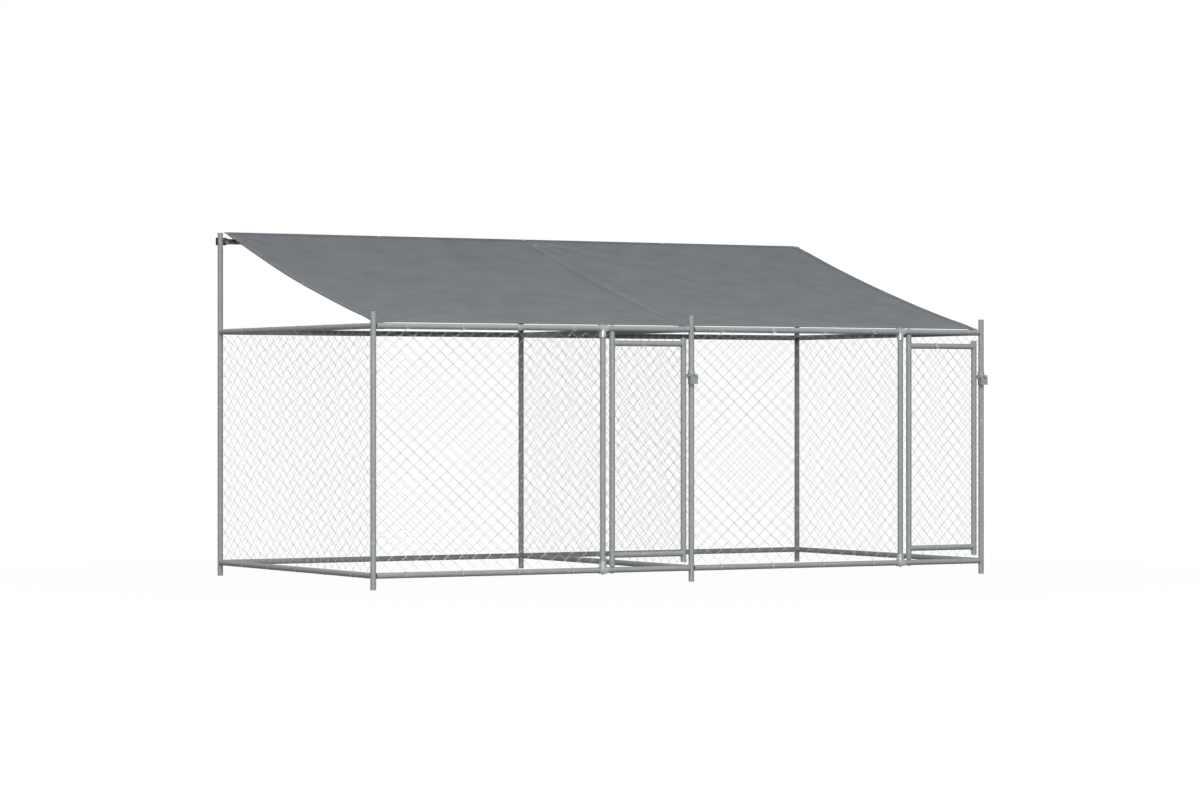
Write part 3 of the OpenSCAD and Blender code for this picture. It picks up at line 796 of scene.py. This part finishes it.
class KENNEL_OT_tarp(bpy.types.Operator):
    """Lay the tarpaulin with its hem and eyelets over the run"""

    bl_idname = "kennel.tarp"
    bl_label = "Tarpaulin"

    def execute(self, context):
        roof = settings().roof
        wide, deep = TARP_CELLS
        clear_selection()
        bpy.ops.mesh.primitive_grid_add(
            x_subdivisions=wide, y_subdivisions=deep, size=1, location=(0, 0, 0))
        piece = context.object
        lines = [tarp_lines(0), tarp_lines(1)]
        group = piece.vertex_groups.new(name="hem")
        for vertex in piece.data.vertices:
            i, j = round((vertex.co.x + 0.5) * wide), round((vertex.co.y + 0.5) * deep)
            x, y = lines[0][i], lines[1][j]
            vertex.co = (x, y, tarp_height(y) + tarp_folds(x, y))
            edge = i < 2 or i > wide - 2 or j < 2 or j > deep - 2
            group.add([vertex.index], 1.0 if edge else roof.thickness / roof.hem_thickness, "REPLACE")
        modify(piece, "SOLIDIFY", thickness=roof.hem_thickness, offset=1, vertex_group="hem",
               thickness_vertex_group=0.0)
        holes = [on_tarp(*spot) for spot in eyelet_places()]
        clear_selection()
        bpy.ops.mesh.primitive_cylinder_add(vertices=14, radius=roof.eyelet * 0.75, depth=0.02)
        cutter = copies(context.object, holes)
        modify(piece, "BOOLEAN", operation="DIFFERENCE", solver="EXACT", object=cutter)
        bpy.data.objects.remove(cutter)
        settle(piece, "roof_tarpaulin", "frame", "tarp", finishes()["tarp"], "roof_tarp")

        rings = copies(eyelet_ring(), holes)
        settle(rings, "roof_eyelets", "frame", "zinc_fitting", finishes()["zinc_fitting"])
        steps = zip(lines[1], lines[1][1:])
        slope = sum(math.hypot(b - a, tarp_height(b) - tarp_height(a)) for a, b in steps)
        return {"FINISHED"}


class KENNEL_OT_straps(bpy.types.Operator):
    """Loop the webbing straps about the front rail and sew them under the hem"""

    bl_idname = "kennel.straps"
    bl_label = "Hem straps"

    def execute(self, context):
        thick, edge = settings().roof.strap, TARP_LO.y
        # Gaps from the strap to the hem above it, and between its two ends
        hem_gap, end_gap = 0.0007, 0.0002
        middle = TUBE_R + SEAT + thick / 2
        tongue = [(y, tarp_height(y) - hem_gap - thick / 2) for y in (edge + 0.030, edge + 0.015, edge)]
        # The strap's bends round the rail, in degrees
        first, sweep, bends = 97, 262, 18
        loop = []
        for step in range(bends + 1):
            turn = math.radians(first + sweep * step / bends)
            loop.append((FRONT_Y + middle * math.cos(turn), TOP_Z + middle * math.sin(turn)))
        back = [(y, z - thick - end_gap) for y, z in tongue[1::-1]]
        band = line_of([(0, y, z) for y, z in tongue + loop + back])
        edit_all()
        for share in (0.04, 0.46, 0.46, 0.04):
            push(Vector((STRAP_W * share, 0, 0)))
        bpy.ops.object.mode_set(mode="OBJECT")
        fix_normals(band)
        modify(band, "SOLIDIFY", thickness=thick, offset=0)
        modify(band, "BEVEL", width=thick * 0.25, segments=2, limit_method="ANGLE",
               angle_limit=math.radians(60))
        straps = copies(band, [Matrix.Translation((x - STRAP_W / 2, 0, 0)) for x in STRAP_X])
        settle(straps, "hem_straps", "frame", "tie_strap", finishes()["tie_strap"], "tarp_ties")
        return {"FINISHED"}


class KENNEL_OT_cords(bpy.types.Operator):
    """Lash the tarpaulin's back to the roof rails with black cord"""

    bl_idname = "kennel.cords"
    bl_label = "Back cords"

    def execute(self, context):
        radius = settings().roof.cord / 2
        wrap = TUBE_R + SEAT + radius
        knot_drop = 0.014
        knot_z = tarp_height(BACK_Y - CORD_REACH) - knot_drop - ROOF_Z
        # The loop round the roof rail, in degrees
        sweep, bends = 302, 21
        path = []
        for step in range(bends + 1):
            turn = math.radians(sweep - sweep * step / bends)
            path.append(Vector((CORD_X, wrap * math.sin(turn), wrap * math.cos(turn))))
        leave, stop = path[-1], Vector((CORD_SIDE, -CORD_REACH, knot_z))
        path += [leave.lerp(stop, share) for share in (0.12, 0.25, 0.4, 0.55, 0.7, 0.85)]
        # The knot: two turns that weave in and out three times
        knot_radius, weave, knot_rise, steps = 0.0045, 0.0022, 0.0042, 25
        for step in range(1, steps):
            turn = 4 * math.pi * step / steps
            out = knot_radius + weave * math.cos(1.5 * turn)
            path.append(stop + Vector((
                out * math.cos(turn), out * math.sin(turn), knot_rise * math.sin(1.5 * turn))))
        path += [stop + Vector((0, 0, rise)) for rise in (0.006, 0.012)]
        cord = wire_of(path, radius, rounding=2)
        places = [Matrix.Translation((x, BACK_Y, ROOF_Z)) for x in (-BAY, 0, BAY)]
        places[-1] = places[-1] @ Matrix.Scale(-1, 4, (1, 0, 0))
        cords = copies(cord, places)
        settle(cords, "back_cords", "frame", "black_plastic", finishes()["black_cord"], "tarp_ties")
        fix_normals(cords)
        return {"FINISHED"}


# Stage

def seen_mask(tree):
    """1 for rays that show the stage, straight or mirrored, and 0 for those that light the object."""
    ray = add_node(tree, "ShaderNodeLightPath")
    seen = add_node(tree, "ShaderNodeMath", {
        0: ray.outputs["Is Camera Ray"], 1: ray.outputs["Is Glossy Ray"]}, operation="MAXIMUM")
    seen = add_node(tree, "ShaderNodeMath", {
        0: seen.outputs[0], 1: ray.outputs["Is Transmission Ray"]}, operation="MAXIMUM")
    return seen.outputs[0]


def studio_floor():
    """Matt white paper that keeps the object's shadow near it and fades to plain white further out.
    It throws little light back, so the undersides of the rails stay dark."""
    base = settings().colours.floor
    made, tree, shader = new_finish("studio_floor")
    seen = seen_mask(tree)
    tint = add_node(tree, "ShaderNodeMix", {
        "Factor": seen, 6: rgba(base, 0.03), 7: rgba(base)}, data_type="RGBA")
    tree.links.new(tint.outputs[2], shader.inputs["Base Color"])
    shader.inputs["Roughness"].default_value = 0.9
    shader.inputs["Specular IOR Level"].default_value = 0.0
    place = add_node(tree, "ShaderNodeTexCoord")
    far = add_node(tree, "ShaderNodeVectorMath", {0: place.outputs["Object"]}, operation="LENGTH")
    fade = add_node(tree, "ShaderNodeMapRange", {
        "Value": far.outputs["Value"], "From Min": 2.2, "From Max": 5.0, "To Min": 0.96, "To Max": 1.0},
        interpolation_type="SMOOTHSTEP")
    clear = add_node(tree, "ShaderNodeMath", {0: fade.outputs["Result"], 1: seen}, operation="MULTIPLY")
    white = add_node(tree, "ShaderNodeEmission", {"Color": (1, 1, 1, 1), "Strength": 1.0})
    mix = add_node(tree, "ShaderNodeMixShader", {
        0: clear.outputs[0], 1: shader.outputs["BSDF"], 2: white.outputs["Emission"]})
    tree.links.new(mix.outputs["Shader"], tree.nodes["Material Output"].inputs["Surface"])
    return made


def studio_world():
    """A world that looks white and lights the object more softly."""
    world = bpy.data.worlds.new("studio")
    world.use_nodes = True
    tree = world.node_tree
    tree.nodes.clear()
    seen = seen_mask(tree)
    soft = add_node(tree, "ShaderNodeBackground", {"Color": (1, 1, 1, 1), "Strength": SKY_LIGHT})
    plain = add_node(tree, "ShaderNodeBackground", {"Color": (1, 1, 1, 1), "Strength": 1.0})
    mix = add_node(tree, "ShaderNodeMixShader", {
        0: seen, 1: soft.outputs["Background"], 2: plain.outputs["Background"]})
    add_node(tree, "ShaderNodeOutputWorld", {"Surface": mix.outputs["Shader"]})
    return world


class KENNEL_OT_stage(bpy.types.Operator):
    """Set the floor, the lights, the backdrop and the camera"""

    bl_idname = "kennel.stage"
    bl_label = "Stage"

    def execute(self, context):
        scene = context.scene
        clear_selection()
        bpy.ops.mesh.primitive_plane_add(size=120, location=(0, 0, 0))
        floor = context.object
        floor.name = "floor"
        floor.data.materials.append(studio_floor())
        scene.world = studio_world()

        for name, spot, size, power in LAMPS:
            lamp = bpy.data.lights.new(name, "AREA")
            lamp.size = size
            lamp.energy = power
            made = bpy.data.objects.new(name, lamp)
            made.location = spot
            made.rotation_euler = (LAMP_TARGET - Vector(spot)).to_track_quat("-Z", "Y").to_euler()
            # The lamp behind the run leaves no glare on the tarpaulin
            made.visible_glossy = name != "back_light"
            context.collection.objects.link(made)

        lens = bpy.data.cameras.new("camera")
        lens.sensor_width = 36.0
        lens.lens = CAMERA_LENS
        lens.clip_end = 200.0
        camera = bpy.data.objects.new("camera", lens)
        camera.location = CAMERA_PLACE
        camera.rotation_euler = [math.radians(turn) for turn in CAMERA_TURN]
        context.collection.objects.link(camera)
        scene.camera = camera
        scene.view_settings.view_transform = "Standard"
        return {"FINISHED"}


class KENNEL_PT_sidebar(bpy.types.Panel):
    """The kennel's pieces and settings"""

    bl_idname = "KENNEL_PT_sidebar"
    bl_label = "Kennel run"
    bl_space_type = "VIEW_3D"
    bl_region_type = "UI"
    bl_category = "Kennel"

    def draw(self, context):
        for operator in STEPS:
            self.layout.operator(operator.bl_idname)
        for group in vars(settings()).values():
            box = self.layout.box()
            for key in group.__annotations__:
                box.prop(group, key)


STEPS = (KENNEL_OT_stage, KENNEL_OT_frame_finish, KENNEL_OT_nets, KENNEL_OT_net_ties, KENNEL_OT_door_welds,
         KENNEL_OT_tarp, KENNEL_OT_straps, KENNEL_OT_cords)
CLASSES = (KennelNet, KennelRoof, KennelDoor, KennelColours) + STEPS + (KENNEL_PT_sidebar,)


def register():
    for item in CLASSES:
        bpy.utils.register_class(item)
    bpy.types.Scene.kennel_net = bpy.props.PointerProperty(type=KennelNet)
    bpy.types.Scene.kennel_roof = bpy.props.PointerProperty(type=KennelRoof)
    bpy.types.Scene.kennel_door = bpy.props.PointerProperty(type=KennelDoor)
    bpy.types.Scene.kennel_colours = bpy.props.PointerProperty(type=KennelColours)


def unregister():
    del bpy.types.Scene.kennel_colours
    del bpy.types.Scene.kennel_door
    del bpy.types.Scene.kennel_roof
    del bpy.types.Scene.kennel_net
    for item in reversed(CLASSES):
        bpy.utils.unregister_class(item)


def main():
    register()
    bpy.ops.kennel.stage()
    bpy.ops.kennel.frame_finish()
    bpy.ops.kennel.nets()
    bpy.ops.kennel.net_ties()
    bpy.ops.kennel.door_welds()
    bpy.ops.kennel.tarp()
    bpy.ops.kennel.straps()
    bpy.ops.kennel.cords()
    clear_selection()


if __name__ == "__main__":
    main()
